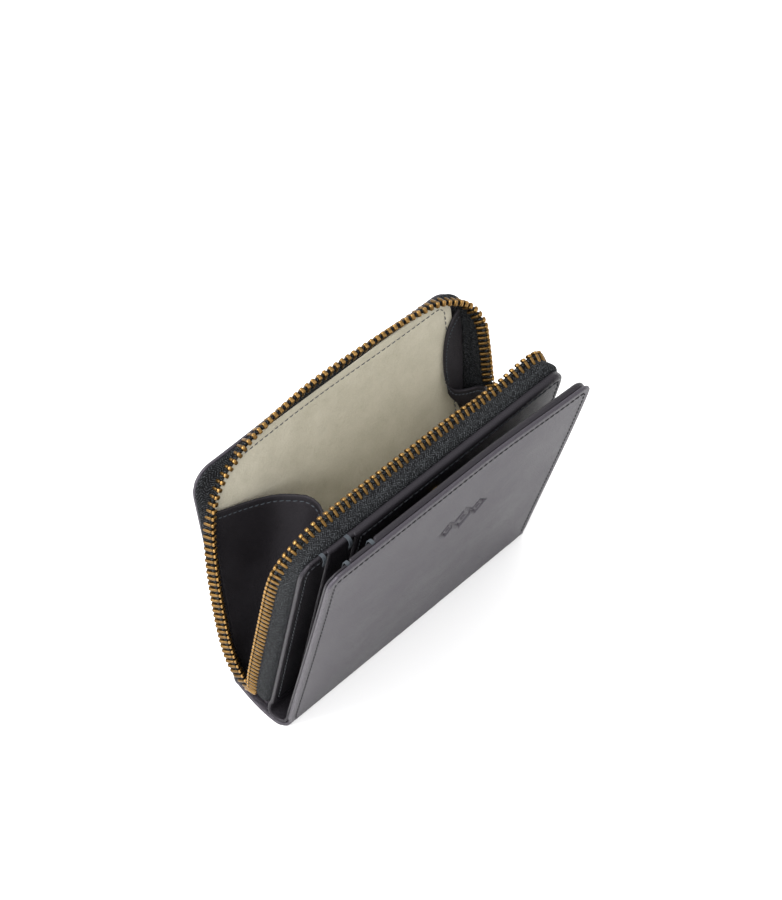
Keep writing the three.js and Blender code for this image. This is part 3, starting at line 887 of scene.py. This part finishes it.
def right_gusset(x, v, h):
    """x runs from 0 at the rear seam to GUSSET_WIDTH. The fold is deep at the hem and shallow below."""
    def surface(a, b):
        share = a / GUSSET_WIDTH
        gx, gv, hem = table(RIGHT_HEM, share)
        up = (b - GUSSET_FOOT) / (GUSSET_TOP - GUSSET_FOOT)
        height = GUSSET_FOOT + (hem - GUSSET_FOOT) * up
        drop = (hem - height - 4) / 7 if share > 0.6 else (hem - height) / 22
        limit = 52.2 + 2.4 * smooth((height - 48) / 28)
        gx = limit - max(limit - gx, 0.0) * (1 - 0.8 * smooth(drop))
        return at("back", gx, gv, height)
    return off_surface(surface, x, v, h)


def off_surface(surface, x, v, h):
    """The point at (x, h) of a surface, moved v along its normal."""
    point = surface(x, h)
    across = surface(x + 0.4, h) - surface(x - 0.4, h)
    upward = surface(x, h + 0.4) - surface(x, h - 0.4)
    normal = across.cross(upward)
    return point + (normal.normalized() if normal.length > 0 else Vector((0, 0, 1))) * v * MM


def make_gussets():
    panel = Panel(0, GUSSET_WIDTH, GUSSET_FOOT, GUSSET_TOP, (0.8, 0.8, 0.6, 0.6))
    hem = [(1.0 + k, GUSSET_TOP - HEM_IN) for k in range(int(GUSSET_WIDTH) - 1)]
    for side, where in (("left", left_gusset), ("right", right_gusset)):
        obj = sheet("gusset_" + side, where, panel, 0.0, 0.5, SHADED_GUSSET, groove=HEM_IN,
                    fine_h=[GUSSET_TOP - HEM_IN + d for d in STITCH_BAND],
                    replaces=[f"gusset_{side}_rear", f"gusset_{side}_front"], slot="gusset")
        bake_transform(obj)
        for face, out in (("inner", 1), ("outer", -1)):
            thread = stitches(f"gusset_{side}_stitching_{face}", where, hem, 0.46 * out, out, GREY_THREAD,
                              thick=0.36)
            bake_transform(thread)


# y, z, half thickness and swell of the trough, from the middle panel down and up to the cover
GUTTER = spline([
    (0.22, 11.74, 0.5, 0), (0.60, 9.8, 0.52, 0), (1.05, 7.6, 0.6, 0.2), (1.5, 5.9, 0.62, 0.7),
    (1.5, 4.0, 0.6, 1.2), (0.7, 2.6, 0.58, 1.5), (-0.9, 2.1, 0.56, 1.6), (-2.9, 2.1, 0.54, 1.3),
    (-4.4, 2.6, 0.52, 0.8), (-5.05, 4.0, 0.5, 0.3), (-5.3, 6.0, 0.46, 0), (-5.74, 8.67, 0.42, 0),
    (-6.4, 11.6, 0.4, 0)], 5)
GUTTER_ENDS = [0.0, 0.03, 0.12, 0.28, 0.5, 0.8]  # close stations at each end of the wallet


def make_gutter():
    """The lining of the bifold's foot: a trough between the middle panel and the narrower cover."""
    shell = Shell()
    half = WIDTH / 2
    last = len(GUTTER) - 1
    stations_x = [-half + d for d in GUTTER_ENDS]
    stations_x += [(half - 1.5) * (-1 + 2 * k / 40) for k in range(41)]
    stations_x += [half - d for d in reversed(GUTTER_ENDS)]
    rings = []
    for x in stations_x:
        d = min(x + half, half - x)
        ring = []
        for side in (1, -1):
            for k in range(last + 1)[::side]:
                y, z, r, swell = GUTTER[k]
                after, before = GUTTER[min(k + 1, last)], GUTTER[max(k - 1, 0)]
                ty, tz = after[0] - before[0], after[1] - before[1]
                size = math.hypot(ty, tz)
                thick = side * math.sqrt(max(r * r - max(r - d, 0.0) ** 2, 0.0004))
                shrink = 1 - 0.019 * k / last + swell / half
                point = (x * shrink + X_SHIFT, y + Y_SHIFT + tz / size * thick, z - ty / size * thick)
                ring.append(shell.add(Vector(point) * MM, max(0.0, 1 - d / 0.9)))
        rings.append(ring)
    shell.loft(rings)
    obj = shell.make("gutter", SHADED_CARD, replaces=["gutter_lining"], slot="leather")
    y = (COVER_Y + Y_SHIFT) * MM
    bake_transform(obj)


def floor_place(x, v, h):
    """On the compartment's floor, h runs to the back."""
    return Vector((x + X_SHIFT, h + Y_SHIFT, 1.85 + v)) * MM


def floor_sag(x, h):
    return 0.9 * (abs(h - 7.8) / 6.6) ** 2.5


def make_floor():
    floor = Panel(-47, 47, 1.2, 14.4, (0.8, 0.8, 0.8, 0.8))
    sheet("compartment_suede", floor_place, floor, 0.0, 0.4, SUEDE, "wallet", shape=floor_sag,
          replaces=["compartment_floor"], slot="lining", wear=0.0)


# ---- small parts ----
def make_bartacks():
    """Four tight threads over the top edge at each slot mouth."""
    panel_back = 2 * LAYER + CARD_BASE + 0.5
    cover_top = COVER_HEIGHT - COVER_LAYER_DROP
    low = -FOLD_R + LEATHER
    face = low + CARD_BASE
    panel_left, cover_left = -WIDTH / 2, -COVER_WIDTH / 2
    spots = [  # name, panel, x, low and high face, top edge, side, node replaced
        ("panel_tack_front", "panel", panel_left + SLOT_1 - 2.6, 0.0, panel_back, PANEL_HEIGHT, -1,
         "panel_bartack_1"),
        ("panel_tack_second", "panel", panel_left + SLOT_2 - 2.2, LAYER, panel_back, PANEL_HEIGHT, -1,
         "panel_bartack_2"),
        ("cover_tack_front", "cover", cover_left + SLOT_1 - 1.6, low, face + 2 * LAYER, cover_top, 1,
         "cover_bartack_1"),
        ("cover_tack_second", "cover", cover_left + SLOT_2 - 1.6, low, face + LAYER, cover_top, 1,
         "cover_bartack_2"),
    ]
    for name, place, x, low, high, top, out, node in spots:
        shell = Shell()
        bow = cover_bow if place == "cover" else flat
        mid, half = (low + high) / 2, (high - low) / 2 + 0.12
        arc = [(half * math.cos(a), top - half + (half + 0.1) * math.sin(a)) for a in TURN]
        for k in range(4):
            path = [(mid + out * half, top - 4.2 - 0.35 * (k % 2)), (mid + out * half, top - 2.6)]
            path += [(mid + out * v, h) for v, h in arc[::2]]
            path += [(mid - out * v, h) for v, h in arc[-2:2:-2]]
            shell.tube([at(place, x + 0.32 * k, v + bow(x, h), h) for v, h in path], 0.17, 7)
        shell.make(name, GREY_THREAD, BODY[place], replaces=[node], slot="thread")


def rounded(half_w, half_h, corner, count=40):
    """A rounded-rectangle loop centred on the origin; a higher corner number is squarer."""
    loop = []
    for k in range(count):
        a = 2 * math.pi * (k + 0.5) / count
        c, s = math.cos(a), math.sin(a)
        power = 2 / corner
        loop.append((math.copysign(abs(c) ** power, c) * half_w, math.copysign(abs(s) ** power, s) * half_h))
    return loop


SLIDER_X, SLIDER_V = WIDTH / 2 + 0.2, ROW_FRONT + ROW_FLARE * SLIDER_AT
SLIDER_MID = SLIDER_AT + 4.5


def slider_at(x, d, t):
    """x outward from the row, d across it towards the back panel, t up along it from the slider's middle."""
    return at("panel", SLIDER_X + x, SLIDER_V + 0.65 + d, SLIDER_MID + t)


def solid(shell, loops):
    """Rows of a loop of (x, d, t) points and its wear, closed into one body."""
    shell.loft([[shell.add(slider_at(*p), wear) for p in loop] for loop, wear in loops])


def make_slider():
    """Two flared plates, joined by a wall towards the back panel, with guide rims on the other side."""
    shell = Shell()
    outline = [(d * (1 + 0.16 * (t / 4.5)), t) for d, t in rounded(3.15, 4.5, 3.4)]
    # distance outward, share of the outline, wear
    plate = [(1.8, 0.90, 0.2), (1.8, 1.0, 0.5), (2.5, 1.0, 0.6), (2.8, 0.95, 1.0), (2.9, 0.82, 0.8),
             (2.95, 0.4, 0.4)]
    for side in (1, -1):
        solid(shell, [([(side * x, d * k, t * k) for d, t in outline], wear) for x, k, wear in plate])
    solid(shell, [([(x, 2.9 + d, t) for d, t in rounded(0.55, 3.4, 3)], 0.4) for x in (-1.9, 1.9)])
    for side in (1, -1):
        bar = rounded(0.35, 0.5, 3, 16)
        solid(shell, [([(side * 1.55 + x, -2.7 + d, t) for x, d in bar], 0.6) for t in (-4, 4)])
    shell.make("zip_slider", BRASS, "slider", replaces=["slider_body"], slot="brass")


def make_bridge():
    """The arch on the slider that the puller hangs on."""
    shell = Shell()
    angles = [math.pi * k / 20 for k in range(21)]
    arch = [slider_at(2.7 + 2.6 * math.sin(a), 0.0, 3.5 * math.cos(a)) for a in angles]
    shell.tube(arch, 0.62, 12, 0.8)
    shell.make("zip_slider_bridge", BRASS, "slider", replaces=["slider_bridge"], slot="brass")


PULLER_TOP, PULLER_HALF = 1.8, 11  # its top above the slider's middle, and half its length


def make_puller():
    """A long rounded tab, narrower at the top, with an eye through it for the bridge."""
    shell = Shell()
    drop = PULLER_HALF - PULLER_TOP
    outer = [(d * (1 - 0.12 * t / PULLER_HALF), t - drop) for d, t in rounded(2.7, PULLER_HALF, 4)]
    eye = [(d, t - 2.1) for d, t in rounded(1.3, 2.3, 3)]
    rim = [(d * 0.86, (t + drop) * 0.955 - drop) for d, t in outer]
    # loop, distance outward, wear
    profile = [(outer, 3.25, 0.6), (outer, 4.05, 1.0), (rim, 4.15, 0.9), (eye, 4.0, 0.7), (eye, 3.3, 0.5),
               (rim, 3.15, 0.3)]
    rings = [[shell.add(slider_at(x, d, t), wear) for d, t in loop] for loop, x, wear in profile]
    for a, b in zip(rings, rings[1:] + rings[:1]):
        shell.bridge(a, b)
    shell.make("zip_puller", BRASS, "puller", replaces=["puller_tab"], slot="brass")


def gild_stamp():
    """The stamp keeps its own shape and gets gold foil."""
    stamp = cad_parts["foil_stamp"].data
    stamp.materials.clear()
    stamp.materials.append(GOLD)


make_cover()
make_middle()
make_back()
make_zip()
make_gussets()
make_gutter()
make_floor()
make_bartacks()
make_slider()
make_bridge()
make_puller()
gild_stamp()


# ---- floor, light and camera ----
STUDIO_LIGHT = 1.42
AIM = Vector((0, 0, 0.04))


def make_stage():
    bpy.ops.mesh.primitive_plane_add(size=6.0, location=(0, 0, 0))
    floor = bpy.context.object
    floor.name = "floor"
    floor.data.materials.append(Nodes("floor").finish(Base_Color=(0.93, 0.93, 0.93), Roughness=0.9))
    world = bpy.data.worlds.new("studio")
    bpy.context.scene.world = world
    world.use_nodes = True
    background = world.node_tree.nodes["Background"]
    background.inputs["Color"].default_value = (1.0, 1.0, 1.0, 1.0)
    background.inputs["Strength"].default_value = STUDIO_LIGHT


def softbox(name, place, size, power):
    """A square area light, size metres across, aimed at the wallet."""
    light = bpy.data.lights.new(name, "AREA")
    light.shape = "RECTANGLE"
    light.size, light.size_y = size, size
    light.energy = power
    lamp = bpy.data.objects.new(name, light)
    bpy.context.scene.collection.objects.link(lamp)
    turn = (AIM - Vector(place)).to_track_quat("-Z", "Y").to_matrix().to_4x4()
    lamp.matrix_world = Matrix.Translation(place) @ turn


CAMERA_PLACE = Vector((-0.32839, -0.32677, 0.6487))
CAMERA_AZIMUTH, CAMERA_ELEVATION = -44.93, 50.78
CAMERA_LENS = 98.83


def make_camera():
    camera = bpy.data.objects.new("camera", bpy.data.cameras.new("camera"))
    bpy.context.scene.collection.objects.link(camera)
    a, e = math.radians(CAMERA_AZIMUTH), math.radians(CAMERA_ELEVATION)
    back = Vector((math.sin(a) * math.cos(e), -math.cos(a) * math.cos(e), math.sin(e)))
    right = Vector((math.cos(a), math.sin(a), 0))
    up = back.cross(right)
    turn = Matrix((right, up, back)).transposed().to_4x4()
    camera.matrix_world = Matrix.Translation(CAMERA_PLACE) @ turn
    camera.data.lens = CAMERA_LENS
    camera.data.sensor_width = 36
    camera.data.clip_start = 0.01
    bpy.context.scene.camera = camera


bpy.context.scene.view_settings.view_transform = "Standard"
make_stage()
softbox("key", (-0.6, 0.35, 0.95), 0.6, 15)
softbox("side", (-0.85, -0.4, 0.66), 0.4, 7)
make_camera()
